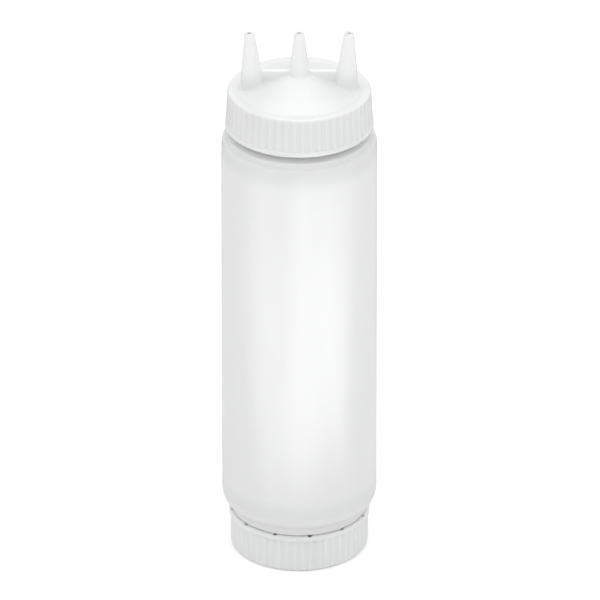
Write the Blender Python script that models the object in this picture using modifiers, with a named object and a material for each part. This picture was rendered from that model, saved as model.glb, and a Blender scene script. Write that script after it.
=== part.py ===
"""Condiment squeeze bottle, open at both ends, with a screw base cap and a screw cap with three nozzles.

The bottle stands upright on its base cap. The origin is under the middle of the base cap, +Z is up, and
the three nozzles stand in a row along X. All sizes are in metres.
"""
import math
from dataclasses import dataclass

import bmesh
import bpy
from mathutils import Euler, Matrix

# Clearances and smoothness
GAP = 0.0003
OVERRUN = 0.0020
MERGE_DISTANCE = 0.00005
WELD_DISTANCE = 0.000005
SEGMENTS = 60
ARC_STEPS = 4
FULL_TURN = 2 * math.pi
SHARP_ANGLE = math.radians(32)

# Bottle body
BODY_RADIUS = 0.0350
BODY_HEIGHT = 0.1726
BODY_WALL = 0.0014
LOWER_SHOULDER_HEIGHT = 0.0057
UPPER_SHOULDER_HEIGHT = 0.0045

# Collars, the steps between the shoulders and the necks
LOWER_COLLAR_RADIUS = 0.0323
LOWER_COLLAR_HEIGHT = 0.0031
LOWER_GROOVE_HEIGHT = 0.0013
LOWER_GROOVE_DEPTH = 0.0005
UPPER_COLLAR_RADIUS = 0.0337
UPPER_COLLAR_HEIGHT = 0.0015
UPPER_GROOVE_HEIGHT = 0.0006
UPPER_GROOVE_DEPTH = 0.0003
COLLAR_CHAMFER = 0.0004

# Necks
LOWER_NECK_RADIUS = 0.0275
LOWER_NECK_LENGTH = 0.0159
UPPER_NECK_RADIUS = 0.0292
UPPER_NECK_LENGTH = 0.0176
NECK_WALL = 0.0016
MOUTH_CHAMFER = 0.0004

# Screw threads, the same on both closures
THREAD_PITCH = 0.0042
THREAD_TURNS = 1.5
THREAD_HEIGHT = 0.0011
THREAD_ROOT_WIDTH = 0.0020
THREAD_CREST_WIDTH = 0.0010
THREAD_CLEARANCE = 0.00035
THREAD_SINK = 0.0003
THREAD_LEAD_IN = 0.0038

# Seal rings
SEAL_THICKNESS = 0.0012
SEAL_INSET = 0.0006
SEAL_SEGMENTS = 36

# Ribs on the skirts of both caps
RIB_COUNT = 54
RIB_DEPTH = 0.0005
RIB_OVERRUN = 0.0003
RIB_SHARES = (1, 1, 0, 0)

# Base cap
LOWER_SKIRT_THICKNESS = 0.00225
LOWER_SKIRT_TAPER = 0.0001
LOWER_COLLAR_CLEARANCE = 0.0014
LOWER_LIP_HEIGHT = 0.0026
LOWER_LIP_PROUD = 0.0007
LOWER_RIM_ROUNDING = 0.0021
FLOOR_THICKNESS = 0.0020
NOTCH_COUNT = 12
NOTCH_WIDTH = 0.0013
NOTCH_DEPTH = 0.0008
NOTCH_REACH = 0.0017
NOTCH_START = math.radians(81)

# Cap with three nozzles
UPPER_SKIRT_THICKNESS = 0.00235
UPPER_SKIRT_TAPER = 0.0008
UPPER_COLLAR_CLEARANCE = 0.0032
UPPER_LIP_HEIGHT = 0.0020
UPPER_LIP_PROUD = 0.0003
UPPER_RIM_ROUNDING = 0.0015
CEILING_THICKNESS = 0.0016
CONE_FOOT_RADIUS = 0.0205
CONE_RISE = 0.0088
RING_RADIUS = 0.0275
RING_RISE = 0.0017
RING_STEP = 0.0003
WEB_THICKNESS = 0.0024
WEB_RISE = 0.0092

# Nozzles
NOZZLE_COUNT = 3
NOZZLE_SPACING = 0.0210
NOZZLE_RISE = 0.0276
NOZZLE_LEAN = math.radians(2.5)
NOZZLE_TIP_RADIUS = 0.0022
NOZZLE_FOOT_RADIUS = 0.00565
NOZZLE_EDGE = 0.0004
NOZZLE_WALL = 0.0013
NOZZLE_SEGMENTS = 20
ORIFICE_RADIUS = 0.0009


@dataclass
class Closure:
    """One screw closure. Its heights run from the collar's face at zero to the closed end of its cap."""
    name: str
    neck_radius: float
    neck_length: float
    skirt_thickness: float
    skirt_taper: float
    collar_clearance: float
    lip_height: float
    lip_proud: float
    rim_rounding: float
    end_thickness: float

    @property
    def bore_radius(self):
        """Inside of the cap's skirt, clear of the crest of the neck's thread."""
        return self.neck_radius + THREAD_HEIGHT + THREAD_CLEARANCE

    @property
    def skirt_radius(self):
        """Outside of the ribs at the lip."""
        return self.bore_radius + self.skirt_thickness

    @property
    def ceiling(self):
        """Height of the cap's inner face, which bears on the seal ring."""
        return self.neck_length + GAP + SEAL_THICKNESS + GAP

    @property
    def end(self):
        """Height of the cap's outer face."""
        return self.ceiling + self.end_thickness


LOWER = Closure("lower", LOWER_NECK_RADIUS, LOWER_NECK_LENGTH, LOWER_SKIRT_THICKNESS, LOWER_SKIRT_TAPER,
                LOWER_COLLAR_CLEARANCE, LOWER_LIP_HEIGHT, LOWER_LIP_PROUD, LOWER_RIM_ROUNDING,
                FLOOR_THICKNESS)
UPPER = Closure("upper", UPPER_NECK_RADIUS, UPPER_NECK_LENGTH, UPPER_SKIRT_THICKNESS, UPPER_SKIRT_TAPER,
                UPPER_COLLAR_CLEARANCE, UPPER_LIP_HEIGHT, UPPER_LIP_PROUD, UPPER_RIM_ROUNDING,
                CEILING_THICKNESS)

# Heights along the bottle, from the floor up
LOWER_COLLAR_FACE = LOWER.end
LOWER_GROOVE = LOWER_COLLAR_FACE + LOWER_COLLAR_HEIGHT
LOWER_SHOULDER = LOWER_GROOVE + LOWER_GROOVE_HEIGHT
BODY_BOTTOM = LOWER_SHOULDER + LOWER_SHOULDER_HEIGHT
BODY_TOP = BODY_BOTTOM + BODY_HEIGHT
UPPER_SHOULDER = BODY_TOP + UPPER_SHOULDER_HEIGHT
UPPER_GROOVE = UPPER_SHOULDER + UPPER_GROOVE_HEIGHT
UPPER_COLLAR_FACE = UPPER_GROOVE + UPPER_COLLAR_HEIGHT


def clear_scene():
    """Remove every object, mesh and collection that the file starts with."""
    for obj in list(bpy.data.objects):
        bpy.data.objects.remove(obj)
    for collection in list(bpy.data.collections):
        bpy.data.collections.remove(collection)
    for mesh in list(bpy.data.meshes):
        bpy.data.meshes.remove(mesh)


def new_collection(name):
    """Make a collection and link it to the scene."""
    collection = bpy.data.collections.new(name)
    bpy.context.scene.collection.children.link(collection)
    return collection


def new_material(name, colour, roughness, transmission):
    """Make a Principled material for one plastic."""
    material = bpy.data.materials.new(name)
    material.use_nodes = True
    shader = material.node_tree.nodes["Principled BSDF"]
    shader.inputs["Base Color"].default_value = (*colour, 1.0)
    shader.inputs["Roughness"].default_value = roughness
    shader.inputs["Metallic"].default_value = 0.0
    shader.inputs["Transmission Weight"].default_value = transmission
    return material


def arc(centre_radius, centre_height, radius, height, start, end):
    """Points of a quarter of an ellipse in a profile, from one angle to the other, in degrees."""
    points = []
    for step in range(ARC_STEPS + 1):
        angle = math.radians(start + (end - start) * step / ARC_STEPS)
        points.append((centre_radius + radius * math.cos(angle), centre_height + height * math.sin(angle)))
    return points


def turned(name, profile, collection, closed=False, angle=FULL_TURN, rise=0.0, segments=SEGMENTS):
    """Turn a profile about Z. Its points (radius, height) run down the outer side."""
    mesh = bpy.data.meshes.new(name)
    edges = [(index, index + 1) for index in range(len(profile) - 1)]
    if closed:
        edges.append((len(profile) - 1, 0))
    mesh.from_pydata([(radius, 0.0, height) for radius, height in profile], edges, [])
    obj = bpy.data.objects.new(name, mesh)
    collection.objects.link(obj)
    screw = obj.modifiers.new("Turn", "SCREW")
    screw.axis = "Z"
    screw.angle = angle
    screw.screw_offset = rise
    screw.steps = segments
    screw.render_steps = segments
    screw.use_merge_vertices = rise == 0.0
    screw.merge_threshold = MERGE_DISTANCE
    return obj


def evaluated_mesh(obj):
    """A new mesh with the object's modifiers worked in."""
    graph = bpy.context.evaluated_depsgraph_get()
    return bpy.data.meshes.new_from_object(obj.evaluated_get(graph))


def thread_ridge(name, inner_radius, outer_radius, inner_width, outer_width, first_height, collection):
    """A helical ridge of trapezium section that starts at +X and climbs as it turns left."""
    half_inner = inner_width / 2
    half_outer = outer_width / 2
    section = [(inner_radius, first_height + half_inner), (outer_radius, first_height + half_outer),
               (outer_radius, first_height - half_outer), (inner_radius, first_height - half_inner)]
    sweep = turned(name + "_sweep", section, collection, closed=True, angle=FULL_TURN * THREAD_TURNS,
                   rise=THREAD_PITCH * THREAD_TURNS, segments=round(SEGMENTS * THREAD_TURNS))
    mesh = evaluated_mesh(sweep)
    bpy.data.objects.remove(sweep)
    shape = bmesh.new()
    shape.from_mesh(mesh)
    open_edges = [edge for edge in shape.edges if edge.is_boundary]
    bmesh.ops.holes_fill(shape, edges=open_edges, sides=len(section))
    bmesh.ops.recalc_face_normals(shape, faces=shape.faces)
    shape.to_mesh(mesh)
    shape.free()
    ridge = bpy.data.objects.new(name, mesh)
    collection.objects.link(ridge)
    return ridge


def ribbed_body(name, low_radius, high_radius, low, high, collection):
    """A tapered bar whose outline waves between the crests and the roots of the ribs."""
    shape = bmesh.new()
    bmesh.ops.create_cone(shape, cap_ends=True, segments=RIB_COUNT * len(RIB_SHARES), radius1=low_radius,
                          radius2=high_radius, depth=high - low)
    for vert in shape.verts:
        turn = math.atan2(vert.co.y, vert.co.x) / FULL_TURN * RIB_COUNT * len(RIB_SHARES)
        crest = RIB_SHARES[round(turn) % len(RIB_SHARES)]
        radius = math.hypot(vert.co.x, vert.co.y)
        wanted = radius + RIB_OVERRUN if crest else radius - RIB_DEPTH
        vert.co.x *= wanted / radius
        vert.co.y *= wanted / radius
        vert.co.z += (low + high) / 2
    mesh = bpy.data.meshes.new(name)
    shape.to_mesh(mesh)
    shape.free()
    obj = bpy.data.objects.new(name, mesh)
    collection.objects.link(obj)
    return obj


def combine(target, tool, operation, cutters):
    """Join, cut or clip the target with a tool, which is kept as a hidden guide."""
    boolean = target.modifiers.new(tool.name, "BOOLEAN")
    boolean.operation = operation
    boolean.solver = "EXACT"
    boolean.object = tool
    tool.hide_render = True
    tool.display_type = "WIRE"
    for collection in list(tool.users_collection):
        if collection != cutters:
            collection.objects.unlink(tool)
            cutters.objects.link(tool)


def finish(obj, material):
    """Give a part its material and smooth shading, with the edges kept sharp."""
    obj.data = evaluated_mesh(obj)
    obj.modifiers.clear()
    shape = bmesh.new()
    shape.from_mesh(obj.data)
    bmesh.ops.remove_doubles(shape, verts=shape.verts, dist=WELD_DISTANCE)
    shape.to_mesh(obj.data)
    shape.free()
    obj.data.materials.clear()
    obj.data.materials.append(material)
    obj.data.shade_smooth()
    obj.data.set_sharp_from_angle(angle=SHARP_ANGLE)


def collar_outline(face, groove, collar_radius, away):
    """Outside of a collar, from the step down to the neck to the groove beside the shoulder."""
    chamfer = COLLAR_CHAMFER * away
    return [(collar_radius - COLLAR_CHAMFER, face), (collar_radius, face - chamfer),
            (collar_radius, groove + chamfer), (collar_radius - COLLAR_CHAMFER, groove)]


def bottle_profile():
    """The bottle's wall as one closed outline: down the outside, and back up the inside."""
    upper_mouth = UPPER_COLLAR_FACE + UPPER.neck_length
    lower_mouth = LOWER_COLLAR_FACE - LOWER.neck_length
    upper_groove_radius = UPPER_COLLAR_RADIUS - UPPER_GROOVE_DEPTH
    lower_groove_radius = LOWER_COLLAR_RADIUS - LOWER_GROOVE_DEPTH
    outside = [(UPPER.neck_radius - MOUTH_CHAMFER, upper_mouth),
               (UPPER.neck_radius, upper_mouth - MOUTH_CHAMFER), (UPPER.neck_radius, UPPER_COLLAR_FACE)]
    outside += collar_outline(UPPER_COLLAR_FACE, UPPER_GROOVE, UPPER_COLLAR_RADIUS, 1)
    outside += [(upper_groove_radius, UPPER_GROOVE), (upper_groove_radius, UPPER_SHOULDER)]
    outside += arc(UPPER_COLLAR_RADIUS, BODY_TOP, BODY_RADIUS - UPPER_COLLAR_RADIUS,
                   UPPER_SHOULDER_HEIGHT, 90, 0)
    outside += arc(LOWER_COLLAR_RADIUS, BODY_BOTTOM, BODY_RADIUS - LOWER_COLLAR_RADIUS,
                   LOWER_SHOULDER_HEIGHT, 0, -90)
    outside += [(lower_groove_radius, LOWER_SHOULDER), (lower_groove_radius, LOWER_GROOVE)]
    outside += reversed(collar_outline(LOWER_COLLAR_FACE, LOWER_GROOVE, LOWER_COLLAR_RADIUS, -1))
    outside += [(LOWER.neck_radius, LOWER_COLLAR_FACE), (LOWER.neck_radius, lower_mouth + MOUTH_CHAMFER),
                (LOWER.neck_radius - MOUTH_CHAMFER, lower_mouth)]
    lower_inside = LOWER.neck_radius - NECK_WALL
    upper_inside = UPPER.neck_radius - NECK_WALL
    lower_step = lower_groove_radius - BODY_WALL
    upper_step = upper_groove_radius - BODY_WALL
    body_inside = BODY_RADIUS - BODY_WALL
    inside = [(lower_inside, lower_mouth), (lower_inside, LOWER_COLLAR_FACE + BODY_WALL),
              (lower_step, LOWER_COLLAR_FACE + BODY_WALL), (lower_step, LOWER_SHOULDER + BODY_WALL),
              (body_inside, BODY_BOTTOM), (body_inside, BODY_TOP),
              (upper_step, UPPER_SHOULDER - BODY_WALL), (upper_step, UPPER_COLLAR_FACE - BODY_WALL),
              (upper_inside, UPPER_COLLAR_FACE - BODY_WALL), (upper_inside, upper_mouth)]
    return outside + inside


def neck_ridge(closure, frame, cutters):
    """The thread on the outside of one neck."""
    ridge = thread_ridge(closure.name + "_neck_thread", closure.neck_radius - THREAD_SINK,
                         closure.neck_radius + THREAD_HEIGHT, THREAD_ROOT_WIDTH, THREAD_CREST_WIDTH,
                         THREAD_LEAD_IN, cutters)
    ridge.parent = frame
    return ridge


def cap_ridge(closure, frame, cutters):
    """The thread inside one cap, half a pitch from the neck's."""
    ridge = thread_ridge(closure.name + "_cap_thread", closure.neck_radius + THREAD_CLEARANCE,
                         closure.bore_radius + THREAD_SINK, THREAD_CREST_WIDTH, THREAD_ROOT_WIDTH,
                         THREAD_LEAD_IN + THREAD_PITCH / 2, cutters)
    ridge.parent = frame
    return ridge


def build_bottle(frames, parts, cutters, material):
    """The bottle: one wall with both necks, and a thread round each."""
    bottle = turned("bottle", bottle_profile(), parts, closed=True)
    for closure in (LOWER, UPPER):
        combine(bottle, neck_ridge(closure, frames[closure.name], cutters), "UNION", cutters)
    finish(bottle, material)
    return bottle


def cap_blank(name, closure, middle, frame, parts, cutters):
    """A solid cap with its ribs and lip. The middle is its closed end's outline, from the axis outwards."""
    lip_face = closure.collar_clearance
    lip_middle = lip_face + closure.lip_height / 2
    end_radius = closure.skirt_radius - closure.skirt_taper
    rounding = closure.rim_rounding
    outline = middle + arc(end_radius - rounding, closure.end - rounding, rounding, rounding, 90, 0)
    outline += [(closure.skirt_radius, lip_middle), (0.0, lip_middle)]
    blank = turned(name, outline, parts, segments=RIB_COUNT)
    blank.parent = frame
    high = closure.end + CONE_RISE + OVERRUN
    slope = closure.skirt_taper / (closure.end - lip_middle)
    low_radius = closure.skirt_radius + slope * OVERRUN
    high_radius = closure.skirt_radius - slope * (high - lip_middle)
    ribs = ribbed_body(name + "_ribs", low_radius, high_radius, lip_middle - OVERRUN, high, cutters)
    ribs.parent = frame
    combine(blank, ribs, "INTERSECT", cutters)
    lip_radius = closure.skirt_radius + closure.lip_proud
    lip_top = lip_face + closure.lip_height
    lip_edge = closure.lip_proud + RIB_DEPTH
    lip_inside = closure.bore_radius - GAP
    lip_outline = [(lip_inside, lip_top), (lip_radius - lip_edge, lip_top),
                   (lip_radius, lip_top - lip_edge), (lip_radius, lip_face), (lip_inside, lip_face)]
    lip = turned(name + "_lip", lip_outline, cutters, closed=True, segments=RIB_COUNT)
    lip.parent = frame
    combine(blank, lip, "UNION", cutters)
    return blank


def hollow_out(cap, closure, ceiling, frame, cutters):
    """Cut the inside of a cap and add its thread. The ceiling is its outline, from the axis outwards."""
    outline = ceiling + [(closure.bore_radius, closure.ceiling), (closure.bore_radius, -OVERRUN),
                         (0.0, -OVERRUN)]
    inside = turned(cap.name + "_inside", outline, cutters, segments=RIB_COUNT)
    inside.parent = frame
    combine(cap, inside, "DIFFERENCE", cutters)
    combine(cap, cap_ridge(closure, frame, cutters), "UNION", cutters)


def lip_notches(closure, frame, cutters):
    """Blocks for the ring of small notches in the face of a cap's lip."""
    inner = closure.bore_radius - OVERRUN
    outer = closure.bore_radius + NOTCH_REACH
    low = closure.collar_clearance - OVERRUN
    high = closure.collar_clearance + NOTCH_DEPTH
    place = Matrix.Translation(((inner + outer) / 2, 0.0, (low + high) / 2))
    size = Matrix.Diagonal((outer - inner, NOTCH_WIDTH, high - low)).to_4x4()
    shape = bmesh.new()
    for index in range(NOTCH_COUNT):
        turn = Matrix.Rotation(NOTCH_START + FULL_TURN * index / NOTCH_COUNT, 4, "Z")
        bmesh.ops.create_cube(shape, matrix=turn @ place @ size)
    mesh = bpy.data.meshes.new("lip_notches")
    shape.to_mesh(mesh)
    shape.free()
    notches = bpy.data.objects.new("lip_notches", mesh)
    cutters.objects.link(notches)
    notches.parent = frame
    return notches


def build_base_cap(frame, parts, cutters, material):
    """The base cap: a flat floor inside a ribbed skirt, and notches in the lip."""
    cap = cap_blank("base_cap", LOWER, [(0.0, LOWER.end)], frame, parts, cutters)
    hollow_out(cap, LOWER, [(0.0, LOWER.ceiling)], frame, cutters)
    combine(cap, lip_notches(LOWER, frame, cutters), "DIFFERENCE", cutters)
    finish(cap, material)
    return cap


def nozzle_places():
    """Place along X and lean of each nozzle."""
    steps = [index - (NOZZLE_COUNT - 1) / 2 for index in range(NOZZLE_COUNT)]
    return [(step * NOZZLE_SPACING, step * NOZZLE_LEAN) for step in steps]


def add_nozzle_part(name, profile, place, lean, frame, cutters):
    """Turn one nozzle's solid or bore and stand it on the cap."""
    obj = turned(name, profile, cutters, segments=NOZZLE_SEGMENTS)
    obj.location = (place, 0.0, UPPER.end)
    obj.rotation_euler = Euler((0.0, lean, 0.0))
    obj.parent = frame
    return obj


def add_web(cap, frame, cutters):
    """The upright web that joins the nozzles, sunk half the wall into the cone."""
    sink = CEILING_THICKNESS / 2
    slope = (CONE_RISE - RING_RISE) / CONE_FOOT_RADIUS
    end_height = UPPER.end + CONE_RISE - slope * NOZZLE_SPACING - sink
    top = UPPER.end + WEB_RISE
    corners = [(-NOZZLE_SPACING, top), (-NOZZLE_SPACING, end_height), (0.0, UPPER.end + CONE_RISE - sink),
               (NOZZLE_SPACING, end_height), (NOZZLE_SPACING, top)]
    curve = bpy.data.curves.new("web_outline", "CURVE")
    curve.dimensions = "2D"
    curve.fill_mode = "BOTH"
    curve.extrude = WEB_THICKNESS / 2
    spline = curve.splines.new("POLY")
    spline.points.add(len(corners) - 1)
    for point, (across, height) in zip(spline.points, corners):
        point.co = (across, height, 0.0, 1.0)
    spline.use_cyclic_u = True
    outline = bpy.data.objects.new("web_outline", curve)
    cutters.objects.link(outline)
    mesh = evaluated_mesh(outline)
    bpy.data.objects.remove(outline)
    shape = bmesh.new()
    shape.from_mesh(mesh)
    bmesh.ops.remove_doubles(shape, verts=shape.verts, dist=MERGE_DISTANCE)
    shape.to_mesh(mesh)
    shape.free()
    web = bpy.data.objects.new("web", mesh)
    web.rotation_euler = Euler((FULL_TURN / 4, 0.0, 0.0))
    cutters.objects.link(web)
    web.parent = frame
    combine(cap, web, "UNION", cutters)


def build_tri_tip_cap(frame, parts, cutters, material):
    """The upper cap: a ribbed skirt, a shallow cone in a ring, three hollow nozzles and their web."""
    middle = [(0.0, UPPER.end + CONE_RISE), (CONE_FOOT_RADIUS, UPPER.end + RING_RISE),
              (RING_RADIUS, UPPER.end - RING_STEP), (RING_RADIUS + RING_STEP, UPPER.end)]
    cap = cap_blank("tri_tip_cap", UPPER, middle, frame, parts, cutters)
    sink = CEILING_THICKNESS / 2
    taper = (NOZZLE_FOOT_RADIUS - NOZZLE_TIP_RADIUS) / NOZZLE_RISE
    solid = [(0.0, NOZZLE_RISE), (NOZZLE_TIP_RADIUS - NOZZLE_EDGE, NOZZLE_RISE),
             (NOZZLE_TIP_RADIUS, NOZZLE_RISE - NOZZLE_EDGE), (NOZZLE_FOOT_RADIUS + taper * sink, -sink),
             (0.0, -sink)]
    places = nozzle_places()
    for index, (place, lean) in enumerate(places):
        nozzle = add_nozzle_part(f"nozzle_{index + 1}", solid, place, lean, frame, cutters)
        combine(cap, nozzle, "UNION", cutters)
    add_web(cap, frame, cutters)
    ceiling = [(0.0, UPPER.ceiling + CONE_RISE), (CONE_FOOT_RADIUS, UPPER.ceiling + RING_RISE),
               (RING_RADIUS, UPPER.ceiling)]
    hollow_out(cap, UPPER, ceiling, frame, cutters)
    depth = CEILING_THICKNESS + OVERRUN
    foot = NOZZLE_FOOT_RADIUS - NOZZLE_WALL
    bore = [(0.0, NOZZLE_RISE + OVERRUN), (ORIFICE_RADIUS, NOZZLE_RISE + OVERRUN),
            (ORIFICE_RADIUS, NOZZLE_RISE - OVERRUN), (foot, 0.0), (foot, -depth), (0.0, -depth)]
    for index, (place, lean) in enumerate(places):
        cutter = add_nozzle_part(f"nozzle_bore_{index + 1}", bore, place, lean, frame, cutters)
        combine(cap, cutter, "DIFFERENCE", cutters)
    finish(cap, material)
    return cap


def build_seal(name, closure, frame, parts, material):
    """A flat ring between a neck's mouth and the end of its cap."""
    inner = closure.neck_radius - NECK_WALL - SEAL_INSET
    outer = closure.bore_radius - GAP
    low = closure.neck_length + GAP
    high = low + SEAL_THICKNESS
    seal = turned(name, [(outer, high), (outer, low), (inner, low), (inner, high)], parts, closed=True,
                  segments=SEAL_SEGMENTS)
    seal.parent = frame
    finish(seal, material)
    return seal


def closure_frame(name, height, turned_over, parts):
    """An empty on the bottle's axis at a collar's face, with +Z towards the closed end of the cap."""
    frame = bpy.data.objects.new(name, None)
    frame.location = (0.0, 0.0, height)
    if turned_over:
        frame.rotation_euler = Euler((FULL_TURN / 2, 0.0, 0.0))
    parts.objects.link(frame)
    return frame


def main():
    """Build the whole bottle."""
    clear_scene()
    parts = new_collection("condiment_squeeze_bottle")
    cutters = new_collection("cutters")
    frames = {"lower": closure_frame("lower_closure", LOWER_COLLAR_FACE, True, parts),
              "upper": closure_frame("upper_closure", UPPER_COLLAR_FACE, False, parts)}
    bpy.context.view_layer.update()
    bottle_plastic = new_material("bottle_plastic", (0.86, 0.87, 0.87), 0.38, 0.35)
    cap_plastic = new_material("cap_plastic", (0.84, 0.85, 0.85), 0.30, 0.15)
    base_plastic = new_material("base_plastic", (0.82, 0.83, 0.83), 0.34, 0.15)
    seal_rubber = new_material("seal_rubber", (0.80, 0.80, 0.78), 0.60, 0.0)
    build_base_cap(frames["lower"], parts, cutters, base_plastic)
    build_seal("base_seal", LOWER, frames["lower"], parts, seal_rubber)
    build_bottle(frames, parts, cutters, bottle_plastic)
    build_seal("top_seal", UPPER, frames["upper"], parts, seal_rubber)
    build_tri_tip_cap(frames["upper"], parts, cutters, cap_plastic)


main()
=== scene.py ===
# %% [markdown]
# # A squeeze bottle in milky plastic
#
# This lesson dresses the imported model of a squeeze bottle: a blow-moulded tube that is open at both ends, a ribbed
# cap that it stands on, a ribbed cap with three nozzles, and two soft seal rings that hide between the mouths and
# the caps. The imported model fixes where everything is and how it moves. Here each piece gets the fine shape and
# the finish of the real one.
#
# We load the frame first. The box round each of its plain pieces can be read later.

# %% Load the frame
import math

import bpy
import numpy as np
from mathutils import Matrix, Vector


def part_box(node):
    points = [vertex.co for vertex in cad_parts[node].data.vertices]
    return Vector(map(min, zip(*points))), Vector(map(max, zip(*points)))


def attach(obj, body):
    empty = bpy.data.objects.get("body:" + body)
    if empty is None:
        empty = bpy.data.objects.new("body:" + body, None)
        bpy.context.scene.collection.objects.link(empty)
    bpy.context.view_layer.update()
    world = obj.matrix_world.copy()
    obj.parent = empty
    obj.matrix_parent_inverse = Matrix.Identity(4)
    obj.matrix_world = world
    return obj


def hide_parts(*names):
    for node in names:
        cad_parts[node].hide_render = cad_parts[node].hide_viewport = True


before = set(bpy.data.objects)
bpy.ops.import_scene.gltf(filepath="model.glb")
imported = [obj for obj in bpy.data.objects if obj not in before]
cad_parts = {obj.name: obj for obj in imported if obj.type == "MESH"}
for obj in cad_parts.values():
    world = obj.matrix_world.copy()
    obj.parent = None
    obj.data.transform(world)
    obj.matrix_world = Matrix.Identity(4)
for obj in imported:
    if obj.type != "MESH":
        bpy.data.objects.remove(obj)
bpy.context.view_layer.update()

# %% [markdown]
# ## Camera
#
# The photograph was taken from far away through a long lens, so the bottle's two sides stay almost parallel. The
# camera could be set by eye. A fit of the bottle's outline gave firmer numbers: the distance, the angle above the
# horizon and the point that the camera aims at. The lens follows from the size of one picture point on the bottle.
# The view transform is Standard, so that a colour comes out as it is written.

# %% Place the camera
MM = 0.001
PICTURE_WIDTH = 600
PICTURE_POINT = 0.45 * MM
CAMERA_DISTANCE = 5800 * MM
CAMERA_ELEVATION = math.radians(28.04)
CAMERA_AIM = Vector((0.32, 0.0, 122.9)) * MM
SENSOR_WIDTH = 36.0
FARTHEST_SEEN = 100.0

camera_data = bpy.data.cameras.new("long_lens")
camera_data.sensor_width = SENSOR_WIDTH
camera_data.lens = SENSOR_WIDTH * CAMERA_DISTANCE / (PICTURE_WIDTH * PICTURE_POINT)
camera_data.clip_end = FARTHEST_SEEN
camera = bpy.data.objects.new("camera", camera_data)
bpy.context.scene.collection.objects.link(camera)
look_back = Vector((0.0, -math.cos(CAMERA_ELEVATION), math.sin(CAMERA_ELEVATION)))
camera.location = CAMERA_AIM + look_back * CAMERA_DISTANCE
camera.rotation_euler = (-look_back).to_track_quat("-Z", "Y").to_euler()
bpy.context.scene.camera = camera
bpy.context.scene.view_settings.view_transform = "Standard"
print("lens", round(camera_data.lens, 1), "mm")

# %% [markdown]
# ## Sizes that the pieces share
#
# All sizes below are in millimetres, and become metres only when a mesh is made. The heights of the caps and necks
# could be typed again here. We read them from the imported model's own boxes instead, so that each piece sits exactly
# where its plain twin is.

# %% Read the heights from the plain model
def height_range(node):
    """Lowest and highest point of a plain node, in millimetres."""
    low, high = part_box(node)
    return low.z / MM, high.z / MM


base_low, base_high = height_range("base_cap")
mouth_low, mouth_high = height_range("bottle")
cap_low, cap_high = height_range("tri_tip_cap")
body_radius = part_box("bottle")[1].x / MM
for label, low, high in (("base cap", base_low, base_high), ("bottle", mouth_low, mouth_high),
                         ("cap", cap_low, cap_high)):
    print(label, "from", round(low, 2), "to", round(high, 2), "mm")

# %% [markdown]
# ## Outlines with rounded corners
#
# Moulded plastic has no knife edges: every corner is rounded, and those small roundings carry the bright lines that
# make an object look real. A Bevel modifier could round the finished mesh, but it needs sharp edges to find. So we
# round the outline before it is turned: it is a list of corners, and each corner says how large its rounding is.

# %% Helper: round the corners of an outline
ARC_POINTS = 6


def rounded(corners, closed=True):
    """Turn corners (radius, height, rounding) into a smooth outline of (radius, height)."""
    outline = []
    count = len(corners)
    for index, (radius, height, rounding) in enumerate(corners):
        here = np.array((radius, height), float)
        if rounding == 0 or (not closed and index in (0, count - 1)):
            outline.append(here)
            continue
        before = np.array(corners[index - 1][:2], float) - here
        after = np.array(corners[(index + 1) % count][:2], float) - here
        before /= np.linalg.norm(before)
        after /= np.linalg.norm(after)
        opening = math.acos(np.clip(before @ after, -1, 1))
        reach = rounding / math.tan(opening / 2)
        middle = here + (before + after) / np.linalg.norm(before + after) * rounding / math.sin(opening / 2)
        first = here + before * reach - middle
        last = here + after * reach - middle
        sweep = math.pi - opening
        for step in range(ARC_POINTS + 1):
            share = step / ARC_POINTS
            blend = (math.sin((1 - share) * sweep) * first + math.sin(share * sweep) * last) / math.sin(sweep)
            outline.append(middle + blend)
    return outline


def split_long(outline, longest, closed=True):
    """Add points so that no stretch between two of them is longer than longest(radius, height) says."""
    points = []
    following = outline[1:] + (outline[:1] if closed else [])
    for here, there in zip(outline, following):
        limit = longest(*((here + there) / 2))
        pieces = max(1, math.ceil(np.linalg.norm(there - here) / limit))
        points += [here + (there - here) * step / pieces for step in range(pieces)]
    return points if closed else points + [outline[-1]]


square = [(0, 0, 1), (4, 0, 1), (4, 4, 1), (0, 4, 1)]
print("a square with rounded corners has", len(rounded(square)), "points")

# %% [markdown]
# ## Objects and their skins
#
# Blender's own cylinders would be quick, but none of them has collars, threads and a wall with its true thickness.
# So every piece is a mesh that we fill with points and faces ourselves, and shade smooth. A moulded piece has a
# closed skin, which matters to light that enters the plastic. So for each piece we count the edges that don't have
# exactly two faces. There should be none.

# %% Helper: make an object and measure it
def add_object(name, points, faces):
    """Make a smooth-shaded object from points in millimetres."""
    mesh = bpy.data.meshes.new(name)
    mesh.from_pydata((np.asarray(points) * MM).tolist(), [], faces)
    mesh.validate()
    mesh.update()
    mesh.polygons.foreach_set("use_smooth", [True] * len(mesh.polygons))
    obj = bpy.data.objects.new(name, mesh)
    bpy.context.scene.collection.objects.link(obj)
    return obj


def open_edges(obj):
    """How many edges don't have exactly two faces. A closed skin has none."""
    faces_at_edge = np.zeros(len(obj.data.edges), int)
    edge_of_corner = np.zeros(len(obj.data.loops), int)
    obj.data.loops.foreach_get("edge_index", edge_of_corner)
    np.add.at(faces_at_edge, edge_of_corner, 1)
    return int((faces_at_edge != 2).sum())


def report(obj):
    """Print a piece's size and whether its skin is closed."""
    size = [round(side / MM, 2) for side in obj.dimensions]
    print(obj.name, size, "mm,", len(obj.data.polygons), "faces, open edges:", open_edges(obj))


# %% [markdown]
# ## Turning a piece
#
# A lathe is the natural way to make a bottle and its screw caps, and a Screw modifier would do for a plain one. Ours
# lays the outline out as a grid of rings, and lets a relief function push each point in or out before the mesh is
# made. Ribs, threads and notches come from that push, so that the whole piece stays one closed skin of clean
# four-sided faces. Cutting them with Booleans would leave long thin faces that show in the gloss.

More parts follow.
